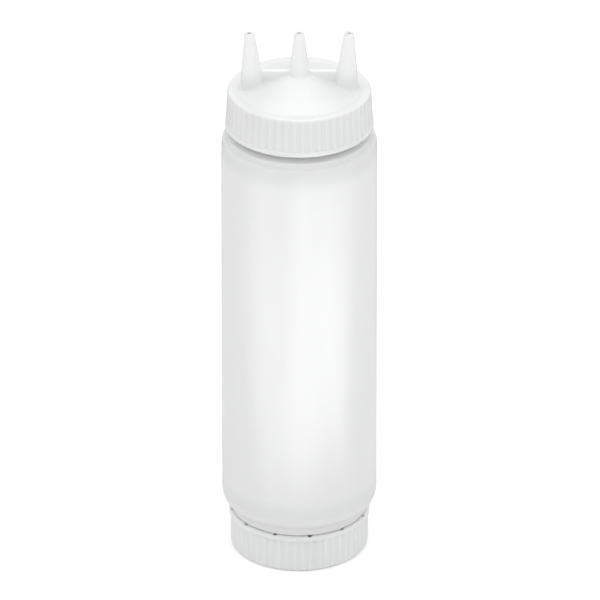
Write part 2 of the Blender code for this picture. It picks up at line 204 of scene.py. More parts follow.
# %% Helper: turn an outline into a mesh
def turned(name, outline, steps, relief=None, closed=True):
    """Turn an outline about Z. An open outline starts and ends on the axis."""
    rings = np.array(outline if closed else outline[1:-1])
    turn = np.arange(steps) * 2 * math.pi / steps
    angles = np.repeat(turn[None, :], len(rings), axis=0)
    radius = np.repeat(rings[:, :1], steps, axis=1)
    height = np.repeat(rings[:, 1:], steps, axis=1)
    if relief:
        radius, height = relief(radius, height, angles)
    points = np.stack((radius * np.cos(angles), radius * np.sin(angles), height), axis=-1).reshape(-1, 3)
    column = np.arange(steps)
    beside = (column + 1) % steps
    faces = []
    for ring in range(len(rings) if closed else len(rings) - 1):
        this, other = ring * steps, (ring + 1) % len(rings) * steps
        faces += np.stack((this + column, other + column, other + beside, this + beside), axis=1).tolist()
    if not closed:
        first, last = len(points), len(points) + 1
        final = (len(rings) - 1) * steps
        faces += [(first, int(a), int(b)) for a, b in zip(column, beside)]
        faces += [(last, int(final + b), int(final + a)) for a, b in zip(column, beside)]
        points = np.vstack((points, [(0.0, 0.0, outline[0][1]), (0.0, 0.0, outline[-1][1])]))
    return add_object(name, points, faces)


# %% [markdown]
# ## Screw threads
#
# A thread is a low ridge that climbs 4.2 mm for each turn. It could be a strip of its own, wound round the neck, but
# in a moulded piece it is one skin with the wall. So we measure how far a point is from the ridge's middle line, and
# raise the surface where it is near. The ridge grows out of the wall and sinks back at its ends, as the cut in a
# real mould does.

# %% Define the thread
THREAD_PITCH = 4.2
THREAD_TURNS = 1.5
THREAD_HEIGHT = 1.1
THREAD_FOOT = 1.0
THREAD_CREST = 0.5
THREAD_FADE = 0.35
THREAD_LEAD_IN = 3.8
THREAD_CLEARANCE = 0.35


def eased(value, low, high):
    """0 below low, 1 above high, and a soft ramp between them."""
    share = np.clip((value - low) / (high - low), 0.0, 1.0)
    return share * share * (3 - 2 * share)


def thread_relief(angle, along):
    """Height of a thread's ridge. Along runs from the collar's face towards the mouth."""
    turn = np.mod(angle, 2 * math.pi)
    whole = THREAD_TURNS * 2 * math.pi
    ridge = np.zeros(np.broadcast(angle, along).shape)
    for lap in range(math.ceil(THREAD_TURNS)):
        travelled = turn + lap * 2 * math.pi
        middle = THREAD_LEAD_IN + THREAD_PITCH * travelled / (2 * math.pi)
        grown = eased(travelled, 0.0, THREAD_FADE) * (1 - eased(travelled, whole - THREAD_FADE, whole))
        flank = 1 - eased(np.abs(along - middle), THREAD_CREST, THREAD_FOOT)
        ridge = np.maximum(ridge, THREAD_HEIGHT * grown * flank)
    return ridge


half_a_turn = thread_relief(math.pi, THREAD_LEAD_IN + THREAD_PITCH / 2)
print("after half a turn the ridge is", round(float(half_a_turn), 2), "mm high")

# %% [markdown]
# ## Grip ribs
#
# The grip ribs are a wave round the skirt with 54 crests. They could come from a bump map, but then the skirt's
# outline would stay smooth. A plain sine looks like corrugated card, so the wave is squeezed until crests and roots
# are flat and the flanks between them are short. The ribs are shallow: under a front light they nearly vanish, and
# only towards the sides do their flanks show as fine light and dark lines.

# %% Define the ribs
RIB_COUNT = 54
RIB_DEPTH = 0.45
RIB_FIRST = math.radians(-90 + 2.7)
RIB_CREST_END = 0.15
RIB_ROOT_START = 0.75


def rib_relief(angle):
    """How far the skirt sinks between two ribs, from 0 on a crest to 1 in a root."""
    wave = 0.5 - 0.5 * np.cos(RIB_COUNT * (angle - RIB_FIRST))
    return eased(wave, RIB_CREST_END, RIB_ROOT_START)


print(RIB_COUNT, "ribs,", round(360 / RIB_COUNT, 2), "degrees apart and", RIB_DEPTH, "mm deep")

# %% [markdown]
# ## Bottle
#
# The real bottle is blown from a tube of soft polythene, so the wall is even, the shoulders are full and round, and
# the collars below the caps are soft steps. A plain surface would do for the outside alone. One closed outline that
# runs down the outside and back up the inside gives the plastic its true thickness too, and the light something to
# glow in.

# %% Draw the bottle's outline
WALL = 1.4
NECK_WALL = 1.6
COLLAR_WALL = 1.7
UPPER_NECK = 29.2
LOWER_NECK = 27.5
UPPER_COLLAR = 32.7
LOWER_COLLAR = 30.7
UPPER_EDGE = 208.6
LOWER_EDGE = 18.6
UPPER_STEP = (34.4, 205.6)
LOWER_STEP = (32.2, 23.1)
SHOULDER_START = 190.0
INNER_TOP = 202.4
BODY_BOTTOM = 29.8
SHOULDER_POINTS = 12


def shoulder(from_radius, from_height, to_radius, to_height):
    """A quarter of an ellipse from a collar out to the body, or back, as corners without rounding."""
    corners = []
    for step in range(1, SHOULDER_POINTS):
        angle = math.pi / 2 * step / SHOULDER_POINTS
        if abs(to_radius) > abs(from_radius):
            share = (math.sin(angle), 1 - math.cos(angle))
        else:
            share = (1 - math.cos(angle), math.sin(angle))
        corners.append((from_radius + (to_radius - from_radius) * share[0],
                        from_height + (to_height - from_height) * share[1], 0))
    return corners


upper_step, upper_ledge = UPPER_STEP
lower_step, lower_ledge = LOWER_STEP
outside = [(UPPER_NECK, mouth_high, 0.5), (UPPER_NECK, UPPER_EDGE + 1.5, 0.8), (UPPER_COLLAR, UPPER_EDGE, 0.6),
           (UPPER_COLLAR + 0.15, upper_ledge + 0.5, 0.5), (upper_step, upper_ledge, 0.45),
           (upper_step + 0.1, upper_ledge - 0.8, 0)]
outside += shoulder(upper_step + 0.1, upper_ledge - 0.8, body_radius, SHOULDER_START)
outside += [(body_radius, SHOULDER_START, 0), (body_radius, BODY_BOTTOM, 0)]
outside += shoulder(body_radius, BODY_BOTTOM, lower_step, lower_ledge)
outside += [(lower_step, lower_ledge, 0), (lower_step - 0.25, lower_ledge - 0.25, 0.15),
            (LOWER_COLLAR, lower_ledge - 0.4, 0.3), (LOWER_COLLAR, LOWER_EDGE, 0.3),
            (LOWER_NECK, LOWER_EDGE, 0.3), (LOWER_NECK, mouth_low, 0.5)]
inside = [(LOWER_NECK - NECK_WALL, mouth_low, 0.5), (LOWER_NECK - NECK_WALL, LOWER_EDGE + 2.0, 1.0),
          (LOWER_COLLAR - COLLAR_WALL, lower_ledge - 0.6, 1.2), (lower_step - COLLAR_WALL, lower_ledge + 1.8, 1.5),
          (body_radius - WALL, BODY_BOTTOM + 0.8, 3.0), (body_radius - WALL, INNER_TOP - 0.8, 3.0),
          (UPPER_COLLAR - COLLAR_WALL, upper_ledge - 1.4, 1.5), (UPPER_COLLAR - COLLAR_WALL, UPPER_EDGE - 1.2, 1.0),
          (UPPER_NECK - NECK_WALL, UPPER_EDGE, 0.8), (UPPER_NECK - NECK_WALL, mouth_high, 0.5)]
print("corners outside", len(outside), "and inside", len(inside))

# %% [markdown]
# The rows of the mesh are close where a thread needs them and wide on the plain wall, which keeps the mesh light.
# Each thread starts at the face where the plain model's collar ends, and the lower one is the upper one turned over.

# %% Build the bottle
BOTTLE_STEPS = 240
THREAD_ROW = 0.35
PLAIN_ROW = 6.0
UPPER_FACE = 209.0
LOWER_FACE = 19.7
NEAR = 0.1


def bottle_rows(radius, height):
    """Fine rows where a thread is, wide ones elsewhere."""
    on_upper = abs(radius - UPPER_NECK) < NEAR and height > UPPER_FACE
    on_lower = abs(radius - LOWER_NECK) < NEAR and height < LOWER_FACE
    return THREAD_ROW if on_upper or on_lower else PLAIN_ROW


def bottle_relief(radius, height, angle):
    """Both neck threads. The lower one is the upper one turned over about X."""
    upper = thread_relief(angle, height - UPPER_FACE) * (np.abs(radius - UPPER_NECK) < NEAR)
    lower = thread_relief(-angle, LOWER_FACE - height) * (np.abs(radius - LOWER_NECK) < NEAR)
    return radius + upper * (height > UPPER_FACE) + lower * (height < LOWER_FACE), height


bottle_outline = split_long(rounded(outside + inside), bottle_rows)
bottle = turned("bottle_shell", bottle_outline, BOTTLE_STEPS, bottle_relief)
report(bottle)

# %% [markdown]
# ## Base cap
#
# The bottle stands on this cap. Outside it has the ribbed skirt, a smooth lip at the open end and a rounded rim
# where it meets the table. Inside it has a flat floor and the thread's other half. It is turned as well, but from an
# open outline that starts and ends on the axis, because its floor is closed.

# %% Draw the base cap's outline
BASE_BORE = LOWER_NECK + THREAD_HEIGHT + THREAD_CLEARANCE
BASE_SKIRT = 31.2
BASE_LIP = 31.9
BASE_LIP_HEIGHT = 2.6
BASE_FLOOR = 2.0

base_edge = base_high - BASE_LIP_HEIGHT
base_corners = [(0.0, base_low, 0), (BASE_SKIRT - 0.1, base_low, 1.9), (BASE_SKIRT, base_edge, 0.2),
                (BASE_LIP, base_edge + 0.3, 0.2), (BASE_LIP, base_high - 0.5, 0.3),
                (BASE_LIP - 1.0, base_high, 0.3), (BASE_BORE, base_high, 0.25), (BASE_BORE, BASE_FLOOR, 0.6),
                (0.0, BASE_FLOOR, 0)]
print("bore", round(BASE_BORE, 2), "mm, skirt from", round(base_low, 2), "to", round(base_edge, 2), "mm")

# %% [markdown]
# The dark dots in the gap below the collar are small notches in the lip's face, twelve round the cap. They could be
# cut out, but a notch that is pushed down into the rows needs no new edges. The ribs fade out at the rim and at the
# lip, as they do on the real cap.

# %% Build the base cap
NOTCH_COUNT = 12
NOTCH_FIRST = math.radians(-81)
NOTCH_HALF_WIDTH = 0.75
NOTCH_DEPTH = 1.5
NOTCH_FOOT = 2.0
NOTCH_REACH = 31.3
NOTCH_SLOPE = 0.15
STEPS_PER_RIB = 12
FACE_ROW = 0.25
FACE_BAND = 0.6
SKIRT_ROW = 1.2
RIB_START = (0.5, 2.0)
RIB_RUN_OUT = 0.3
THREAD_STOP = 1.0


def base_rows(radius, height):
    """Rows for the thread inside, the ribs outside and the notches on top."""
    if abs(radius - BASE_BORE) < NEAR:
        return THREAD_ROW
    if height > base_high - FACE_BAND:
        return FACE_ROW
    return SKIRT_ROW if radius > BASE_SKIRT - 0.5 else PLAIN_ROW


def notch_relief(angle, radius):
    """1 in a notch and 0 beside it."""
    spacing = 2 * math.pi / NOTCH_COUNT
    across = np.abs(np.mod(angle - NOTCH_FIRST + spacing / 2, spacing) - spacing / 2) * radius
    inside_notch = 1 - eased(across, NOTCH_HALF_WIDTH - NOTCH_SLOPE, NOTCH_HALF_WIDTH + NOTCH_SLOPE)
    return inside_notch * (1 - eased(radius, NOTCH_REACH - 2 * NOTCH_SLOPE, NOTCH_REACH))


def base_relief(radius, height, angle):
    """Ribs outside, thread inside, notches in the lip's face."""
    skirt = eased(height, *RIB_START) * (1 - eased(height, base_edge - RIB_RUN_OUT, base_edge))
    sunk = RIB_DEPTH * rib_relief(angle) * skirt * (radius > BASE_BORE + 0.5)
    ridge = thread_relief(-angle, LOWER_FACE - height - THREAD_PITCH / 2) * (np.abs(radius - BASE_BORE) < NEAR)
    near_face = np.clip((height - base_high + NOTCH_FOOT) / NOTCH_FOOT, 0.0, 1.0) * (radius > BASE_BORE - 0.01)
    lowered = NOTCH_DEPTH * notch_relief(angle, radius) * near_face
    return radius - sunk - ridge * (height > BASE_FLOOR + THREAD_STOP), height - lowered


base_outline = split_long(rounded(base_corners, closed=False), base_rows, closed=False)
base_cap = turned("base_cap_shell", base_outline, RIB_COUNT * STEPS_PER_RIB, base_relief, closed=False)
report(base_cap)

# %% [markdown]
# ## Seal rings
#
# Two soft rings lie between the mouths and the caps, where nobody sees them until a cap comes off. A flat washer
# would do for its place. The real ones have a small raised bead on both faces, which is what the mouth presses into,
# and it costs only a few more corners in the outline.

# %% Build the seal rings
SEAL_STEPS = 144
SEAL_WIDTH = 3.3
BEAD_HALF = 0.7
BEAD_HEIGHT = 0.15


def build_seal(name, node):
    """A flat ring with a bead on both faces, fitted into the plain ring's box."""
    low, high = height_range(node)
    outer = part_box(node)[1].x / MM
    inner = outer - SEAL_WIDTH
    bead = (inner + outer) / 2
    flat_low, flat_high = low + BEAD_HEIGHT, high - BEAD_HEIGHT
    corners = [(outer, flat_high, 0.3), (outer, flat_low, 0.3), (bead + BEAD_HALF, flat_low, 0.2), (bead, low, 0.3),
               (bead - BEAD_HALF, flat_low, 0.2), (inner, flat_low, 0.3), (inner, flat_high, 0.3),
               (bead - BEAD_HALF, flat_high, 0.2), (bead, high, 0.3), (bead + BEAD_HALF, flat_high, 0.2)]
    ring = turned(name, rounded(corners), SEAL_STEPS)
    report(ring)
    return ring


base_seal = build_seal("base_seal_ring", "base_seal")
top_seal = build_seal("top_seal_ring", "top_seal")

# %% [markdown]
# ## Cap with three nozzles
#
# This cap is one moulding: nozzles, web and cone flow into each other with small fillets, and a lathe can't make
# that. Booleans and a Bevel modifier often fail where such soft joins meet. So we describe the cap as a distance
# field, a function that says how far any point is from the plastic's skin, because fields are easy to join softly
# and to cut softly. Its turned part starts from two outlines, the skin and the hollow. Both reach a little past the
# axis, so that the axis itself is no edge.

# %% Draw the cap's outlines
CAP_END = 230.0
CAP_CEILING = 228.4
CAP_WALL = 1.6
CAP_BORE = UPPER_NECK + THREAD_HEIGHT + THREAD_CLEARANCE
CAP_SKIRT = 33.0
CAP_SKIRT_TOP = 32.2
CAP_LIP = 33.3
CAP_LIP_HEIGHT = 2.0
CONE_TOP = 238.8
CONE_FOOT = (20.5, 231.7)
RING_EDGE = (27.4, 229.8)
BEYOND = 12.0

cap_edge = cap_low + CAP_LIP_HEIGHT
foot_radius, foot_height = CONE_FOOT
ring_radius, ring_height = RING_EDGE
cap_skin = [(-BEYOND, CONE_TOP - 4.2, 0), (0.0, CONE_TOP, 0), (foot_radius, foot_height, 5.0),
            (ring_radius, ring_height, 2.0), (ring_radius + 1.0, CAP_END - 0.02, 1.5),
            (CAP_SKIRT_TOP - 0.1, CAP_END, 1.4), (CAP_SKIRT, cap_edge, 0.3), (CAP_LIP, cap_edge - 0.3, 0.2),
            (CAP_LIP, cap_low, 0.35), (-BEYOND, cap_low, 0)]
cap_hollow = [(-BEYOND, CONE_TOP - 5.8, 0), (0.0, CONE_TOP - CAP_WALL, 0), (foot_radius, foot_height - CAP_WALL, 4.0),
              (ring_radius, CAP_CEILING, 2.0), (CAP_BORE, CAP_CEILING, 0.5), (CAP_BORE, cap_low - BEYOND, 0),
              (-BEYOND, cap_low - BEYOND, 0)]
skin_line = rounded(cap_skin)
hollow_line = rounded(cap_hollow)
print("points on the cap's skin line", len(skin_line), "and on its hollow's line", len(hollow_line))

# %% [markdown]
# Three small tools work on fields. The first turns an outline into a field. The others join two fields with a fillet
# in the corner between them, and cut one out of the other with a rounded edge.

# %% Helpers: make, join and cut fields
def outline_distance(radius, height, outline):
    """Distance to a closed outline, negative inside it."""
    nearest = np.full(radius.shape, np.inf)
    inside_line = np.zeros(radius.shape, bool)
    for (r0, z0), (r1, z1) in zip(outline, outline[1:] + outline[:1]):
        across, up = r1 - r0, z1 - z0
        share = np.clip(((radius - r0) * across + (height - z0) * up) / (across * across + up * up), 0, 1)
        nearest = np.minimum(nearest, (radius - r0 - share * across) ** 2 + (height - z0 - share * up) ** 2)
        if z0 != z1:
            crossed = (z0 > height) != (z1 > height)
            inside_line ^= crossed & (radius < across * (height - z0) / up + r0)
    return np.where(inside_line, -1.0, 1.0) * np.sqrt(nearest)


def join(one, other, fillet):
    """Join two fields with a fillet in the corner between them."""
    share = np.clip(0.5 + 0.5 * (other - one) / fillet, 0.0, 1.0)
    return other + (one - other) * share - fillet * share * (1 - share)


def cut(one, other, rounding):
    """Cut the other field out of this one, and round the edge."""
    return -join(-one, other, rounding)


print("a fillet of 1 mm fills a corner by", -float(join(0.0, 0.0, 1.0)), "mm")

# %% [markdown]
# The nozzles are slender cones with a tapering bore, and the outer two lean outwards by 2.5 degrees. A thin upright
# web joins their feet. Each could be an object of its own, but then no fillet would run round its foot. In the field
# they melt into the cone, and the hollow and the bores are cut out last.

# %% Describe the cap as a distance field
NOZZLES = ((-21.0, math.radians(-2.5)), (0.0, 0.0), (21.0, math.radians(2.5)))
NOZZLE_RISE = 27.6
NOZZLE_FOOT = 5.5
NOZZLE_TIP = 2.2
NOZZLE_FILLET = 0.9
BORE_FOOT = 4.35
ORIFICE = 0.9
ORIFICE_LENGTH = 2.0
WEB_TOP = 239.2
WEB_HALF = 1.0
WEB_REACH = 21.0
WEB_FILLET = 0.8
BLUNT_EDGE = 0.5
HOLLOW_EDGE = 0.3
BORE_EDGE = 0.4
RIB_FADE = (228.7, 229.7)
RIB_SKIN = (31.2, 31.9)
THREAD_SKIN = (30.9, 31.3)


def nozzle_axis(x, y, z, place, lean):
    """A point's height along a nozzle and its distance from the nozzle's axis."""
    side, rise = x - place, z - CAP_END
    along = side * math.sin(lean) + rise * math.cos(lean)
    across = side * math.cos(lean) - rise * math.sin(lean)
    return along, np.hypot(across, y)


def nozzle_fields(x, y, z):
    """The three nozzles as one field, and their bores as another."""
    nozzles = np.full(x.shape, np.inf)
    bores = np.full(x.shape, np.inf)
    taper = (NOZZLE_FOOT - NOZZLE_TIP) / NOZZLE_RISE
    bore_taper = (BORE_FOOT - ORIFICE) / (NOZZLE_RISE - ORIFICE_LENGTH)
    for place, lean in NOZZLES:
        along, away = nozzle_axis(x, y, z, place, lean)
        side = (away - NOZZLE_FOOT + taper * along) / math.hypot(1, taper)
        nozzles = np.minimum(nozzles, -join(-side, NOZZLE_RISE - along, BLUNT_EDGE))
        bores = np.minimum(bores, away - np.clip(BORE_FOOT - bore_taper * along, ORIFICE, BORE_FOOT))
    return nozzles, bores


def cap_field(x, y, z):
    """Distance to the skin of the whole cap, negative in the plastic."""
    radius, angle = np.hypot(x, y), np.arctan2(y, x)
    ribbed = eased(z, cap_edge - 0.1, cap_edge + 0.2) * (1 - eased(z, *RIB_FADE))
    sunk = RIB_DEPTH * rib_relief(angle) * ribbed * eased(radius, *RIB_SKIN)
    solid = outline_distance(radius + sunk, z, skin_line)
    web = np.maximum(np.maximum(np.abs(x) - WEB_REACH, z - WEB_TOP), CAP_END - z)
    web = -join(-web, WEB_HALF - np.abs(y), BLUNT_EDGE)
    nozzles, bores = nozzle_fields(x, y, z)
    solid = join(join(solid, web, WEB_FILLET), nozzles, NOZZLE_FILLET)
    ridge = thread_relief(angle, z - UPPER_FACE - THREAD_PITCH / 2) * (1 - eased(radius, *THREAD_SKIN))
    hollow = outline_distance(radius + ridge, z, hollow_line)
    return cut(cut(solid, hollow, HOLLOW_EDGE), bores, BORE_EDGE)


mid_wall = cap_field(*np.array([[CAP_SKIRT - 1.0], [0.0], [(cap_low + CAP_END) / 2]]))
print("in the skirt's wall the field is", round(float(mid_wall[0]), 2), "mm")

# %% [markdown]
# A field becomes a mesh by laying a net over it. Blender can do this from a volume, but only with boxes of one size.
# We measure the field on a grid of boxes of our own. The first helper finds the net's knots: each box that the skin
# runs through gets one point, in the middle of the places where the skin crosses the box's edges.

# %% Helper: find the knots of the net
BOX_CORNERS = [(a, b, c) for a in (0, 1) for b in (0, 1) for c in (0, 1)]


def net_points(grid, lines):
    """A point for each box that the skin runs through, and a grid with the number of each box's point."""
    inside_grid = grid < 0
    cells = [slice(None, -1), slice(1, None)]
    filled = sum(inside_grid[cells[a], cells[b], cells[c]].astype(np.int8) for a, b, c in BOX_CORNERS)
    mixed = (filled > 0) & (filled < len(BOX_CORNERS))
    where = np.argwhere(mixed)
    number = np.full(mixed.shape, -1, int)
    number[mixed] = np.arange(len(where))
    total, count = np.zeros((len(where), 3)), np.zeros(len(where))
    for start in BOX_CORNERS:
        for axis in range(3):
            if start[axis]:
                continue
            end = tuple(1 if step == axis else start[step] for step in range(3))
            first, second = where + start, where + end
            low, high = grid[tuple(first.T)], grid[tuple(second.T)]
            crossing = (low < 0) != (high < 0)
            share = np.where(crossing, low / np.where(crossing, low - high, 1), 0)
            for step, line in enumerate(lines):
                spot = line[first[:, step]] * (1 - share) + line[second[:, step]] * share
                total[:, step] += np.where(crossing, spot, 0)
            count += crossing
    return total / count[:, None], number


# %% [markdown]
# The second helper ties the knots together: each grid edge that the skin crosses gets a four-sided face between the
# four boxes round it. The face looks outwards, which depends on the end of the edge that is in the plastic.

# %% Helper: find the faces of the net
def net_faces(inside_grid, number):
    """A face for each grid edge that the skin crosses, between the four boxes round that edge."""
    faces = []
    for axis in range(3):
        one, two = (axis + 1) % 3, (axis + 2) % 3
        here, there = [slice(None)] * 3, [slice(None)] * 3
        here[axis], there[axis] = slice(None, -1), slice(1, None)
        spots = np.argwhere(inside_grid[tuple(here)] != inside_grid[tuple(there)])
        spots = spots[(spots[:, one] > 0) & (spots[:, two] > 0)]
        ring = []
        for back_one, back_two in ((1, 1), (0, 1), (0, 0), (1, 0)):
            cell = spots.copy()
            cell[:, one] -= back_one
            cell[:, two] -= back_two
            ring.append(number[tuple(cell.T)])
        ring = np.stack(ring, axis=1)
        outward = inside_grid[tuple(spots.T)]
        faces.append(np.where(outward[:, None], ring, ring[:, ::-1]))
    return np.vstack(faces)


# %% [markdown]
# The net's points lie near the skin, but not on it, and fine ribs would come out ragged. So the last helper slides
# each point along the field's slope until it lies on the skin. A ball shows how well that works.

# %% Helper: settle the net on the skin
GRID_STEP = 0.4
NUDGES = 4
PROBE = 0.02
FLATTEST = 0.05


def settled(points, field):
    """Move each point along the field's slope until it lies on the skin."""
    for _ in range(NUDGES):
        value = field(*points.T)
        slope = np.stack([(field(*(points + PROBE * unit).T) - field(*(points - PROBE * unit).T)) / (2 * PROBE)
                          for unit in np.eye(3)], axis=1)
        move = slope * (value / np.maximum((slope ** 2).sum(1), FLATTEST))[:, None]
        length = np.maximum(np.linalg.norm(move, axis=1), 1e-9)
        points = points - move * np.minimum(1, GRID_STEP / 2 / length)[:, None]
    return points


def laid_net(field, xs, ys, zs):
    """Points and faces of a closed net on the skin of a field."""
    layers = [field(*np.meshgrid(xs, ys, np.array([z]), indexing="ij"))[:, :, 0] for z in zs]
    grid = np.stack(layers, axis=2)
    points, number = net_points(grid, (xs, ys, zs))
    return settled(points, field), net_faces(grid < 0, number)


def ball(x, y, z):
    """A ball of 2 mm, to try the net on."""
    return np.sqrt(x * x + y * y + z * z) - 2.0


ball_line = np.arange(-3.1, 3.2, GRID_STEP)
ball_points, ball_faces = laid_net(ball, ball_line, ball_line, ball_line)
print("ball:", len(ball_points), "points,", len(ball_faces), "faces, off its skin by",
      round(float(np.abs(ball(*ball_points.T)).max()), 6), "mm")

# %% [markdown]
# Now the net goes over the cap. Small boxes are only needed where the shape is small. Across the cap they are all
# 0.4 mm wide, about a tenth of the way from rib to rib. Upwards, the layers are close at the lip, the rim and the
# tips, and wider on the plain skirt and nozzles.

# %% Build the cap
CAP_HALF = 34.0
LAYERS = ((cap_low - 0.5, 215.4, 0.3), (215.6, 226.6, 0.7), (227.0, 228.9, 0.35), (229.05, 230.5, 0.15),
          (230.7, 241.0, 0.35), (241.3, 255.5, 0.6), (255.8, cap_high + 0.8, 0.23))

across_line = np.arange(-CAP_HALF - GRID_STEP / 3, CAP_HALF + 0.5, GRID_STEP)
layer_line = np.concatenate([np.arange(*span) for span in LAYERS])
cap_points, cap_faces = laid_net(cap_field, across_line, across_line, layer_line)
tri_tip_cap = add_object("tri_tip_cap_shell", cap_points, cap_faces.tolist())
print("layers:", len(layer_line), "of", len(across_line), "by", len(across_line), "boxes")
report(tri_tip_cap)

# %% [markdown]
# ## Finishes
#
# All the hard pieces are polythene: milky, a little waxy, and never quite even. One flat colour would look like
# painted wood. Each finish is a small tree of nodes, and four helpers keep the building of such trees short.

# %% Helpers: make and link nodes
def feed(tree, socket, value):
    """Link an input to another node's output, or set it to a number or colour."""
    if isinstance(value, bpy.types.NodeSocket):
        tree.links.new(value, socket)
    else:
        socket.default_value = value


def maths(tree, operation, first, second):
    """A Math node. Either side may be a socket or a number."""
    node = tree.nodes.new("ShaderNodeMath")
    node.operation = operation
    feed(tree, node.inputs[0], first)
    feed(tree, node.inputs[1], second)
    return node.outputs["Value"]


def noise(tree, place, scale, detail):
    """A noise texture on the given place."""
    node = tree.nodes.new("ShaderNodeTexNoise")
    feed(tree, node.inputs["Vector"], place)
    feed(tree, node.inputs["Scale"], scale)
    feed(tree, node.inputs["Detail"], detail)
    return node.outputs["Fac"]


def mixed(tree, share, first, second):
    """A Mix node for colours."""
    node = tree.nodes.new("ShaderNodeMix")
    node.data_type = "RGBA"
    feed(tree, node.inputs["Factor"], share)
    feed(tree, node.inputs["A"], first)
    feed(tree, node.inputs["B"], second)
    return node.outputs["Result"]


# %% [markdown]
# Three effects are shared by the materials. Each could be copied into every material, but then a change would have
# to be made many times. So each is built once as a node group with named inputs and outputs, and placed in each
# material with that material's own values.

# %% Helpers: make and place groups
def new_group(name, inputs, outputs):
    """A shader node group. Inputs are (name, kind, default), outputs (name, kind)."""
    group = bpy.data.node_groups.new(name, "ShaderNodeTree")
    for label, kind, default in inputs:
        socket = group.interface.new_socket(name=label, in_out="INPUT", socket_type="NodeSocket" + kind)
        if default is not None:
            socket.default_value = default
    for label, kind in outputs:
        group.interface.new_socket(name=label, in_out="OUTPUT", socket_type="NodeSocket" + kind)
    print("group", name, "with", [socket.name for socket in group.interface.items_tree])
    return group, group.nodes.new("NodeGroupInput").outputs, group.nodes.new("NodeGroupOutput").inputs


def place_group(tree, group, **values):
    """Put a shared effect into a material, and give back its outputs."""
    node = tree.nodes.new("ShaderNodeGroup")
    node.node_tree = group
    for label, value in values.items():
        feed(tree, node.inputs[label], value)
    return node.outputs


# %% [markdown]
# The first effect is the skin that a mould leaves: a faint waviness with a fine grain on top, and a gloss that
# changes from patch to patch. It breaks up the reflections. It could be sculpted, but such small relief is cheaper
# as a height that feeds a Bump node in the material.

# %% Build the moulded skin
WAVE_SCALE = 60.0
GRAIN_SCALE = 1400.0
PATCH_SCALE = 45.0

moulded_skin, given, result = new_group(
    "moulded_skin",
    [("Place", "Vector", None), ("Waviness", "Float", 0.5), ("Grain", "Float", 0.2), ("Roughness", "Float", 0.3),
     ("Spread", "Float", 0.1)],
    [("Height", "Float"), ("Roughness", "Float")])
waves = noise(moulded_skin, given["Place"], WAVE_SCALE, 1.0)
grain = noise(moulded_skin, given["Place"], GRAIN_SCALE, 3.0)
patches = noise(moulded_skin, given["Place"], PATCH_SCALE, 4.0)
wave_height = maths(moulded_skin, "MULTIPLY", waves, given["Waviness"])
grain_height = maths(moulded_skin, "MULTIPLY", grain, given["Grain"])
uneven = maths(moulded_skin, "MULTIPLY", maths(moulded_skin, "SUBTRACT", patches, 0.5), given["Spread"])
feed(moulded_skin, result["Height"], maths(moulded_skin, "ADD", wave_height, grain_height))
feed(moulded_skin, result["Roughness"], maths(moulded_skin, "ADD", given["Roughness"], uneven))

# %% [markdown]
# The second effect is the cloudiness in the plastic itself, a soft mix of a paler and a deeper tone. A noise in
# object space runs through the piece as real clouds do, and needs no unwrapping.

# %% Build the milky cloud
CLOUD_DETAIL = 5.0

milky_cloud, given, result = new_group(
    "milky_cloud",
    [("Place", "Vector", None), ("Pale", "Color", (1, 1, 1, 1)), ("Deep", "Color", (0.9, 0.9, 0.9, 1)),
     ("Size", "Float", 25.0)],
    [("Colour", "Color")])
cloud = noise(milky_cloud, given["Place"], given["Size"], CLOUD_DETAIL)
feed(milky_cloud, result["Colour"], mixed(milky_cloud, cloud, given["Pale"], given["Deep"]))

# %% [markdown]
# Each plastic then sets its own values. The bottle's wall is thin and lets light through, so it has some rough
# transmission as well as the glow below the surface, where clear glass or plain white paint would both look wrong.
# The caps are thicker and look almost opaque. The rings are a dull soft rubber. What is the same all over a piece is
# set on the shader itself, so that it survives export.
#
# Blender's colours are linear, so the caps' 0.77 shows as 227 of 255 on a screen. The roughness of the hard pieces
# stays above 0.28 everywhere: the filter that cleans the render takes a smoother surface for a mirror, and would
# draw an outline round each glossy patch.

# %% Mix the plastics
PLASTIC_IOR = 1.5
GLOW_DEPTH = 1.0


def new_plastic(name, pale, deep, cloud_size, roughness, spread, waviness, grain, relief, glow, transmission):
    """A milky plastic with the shared effects. Relief is the bump's depth in millimetres."""
    material = bpy.data.materials.new(name)
    material.use_nodes = True
    tree = material.node_tree
    shader = tree.nodes["Principled BSDF"].inputs
    place = tree.nodes.new("ShaderNodeTexCoord").outputs["Object"]
    skin = place_group(tree, moulded_skin, Place=place, Waviness=waviness, Grain=grain, Roughness=roughness,
                       Spread=spread)
    cloud = place_group(tree, milky_cloud, Place=place, Pale=(*pale, 1.0), Deep=(*deep, 1.0), Size=cloud_size)
    bump = tree.nodes.new("ShaderNodeBump")
    bump.inputs["Strength"].default_value = 1.0
    bump.inputs["Distance"].default_value = relief * MM
    feed(tree, bump.inputs["Height"], skin["Height"])
    feed(tree, shader["Normal"], bump.outputs["Normal"])
    feed(tree, shader["Roughness"], skin["Roughness"])
    feed(tree, shader["Base Color"], cloud["Colour"])
    shader["IOR"].default_value = PLASTIC_IOR
    shader["Subsurface Weight"].default_value = glow
    shader["Subsurface Scale"].default_value = GLOW_DEPTH * MM
    shader["Subsurface Radius"].default_value = (1.0, 1.0, 1.0)
    shader["Transmission Weight"].default_value = transmission
    print(name, "roughness", roughness, "glow", glow, "transmission", transmission)
    return material


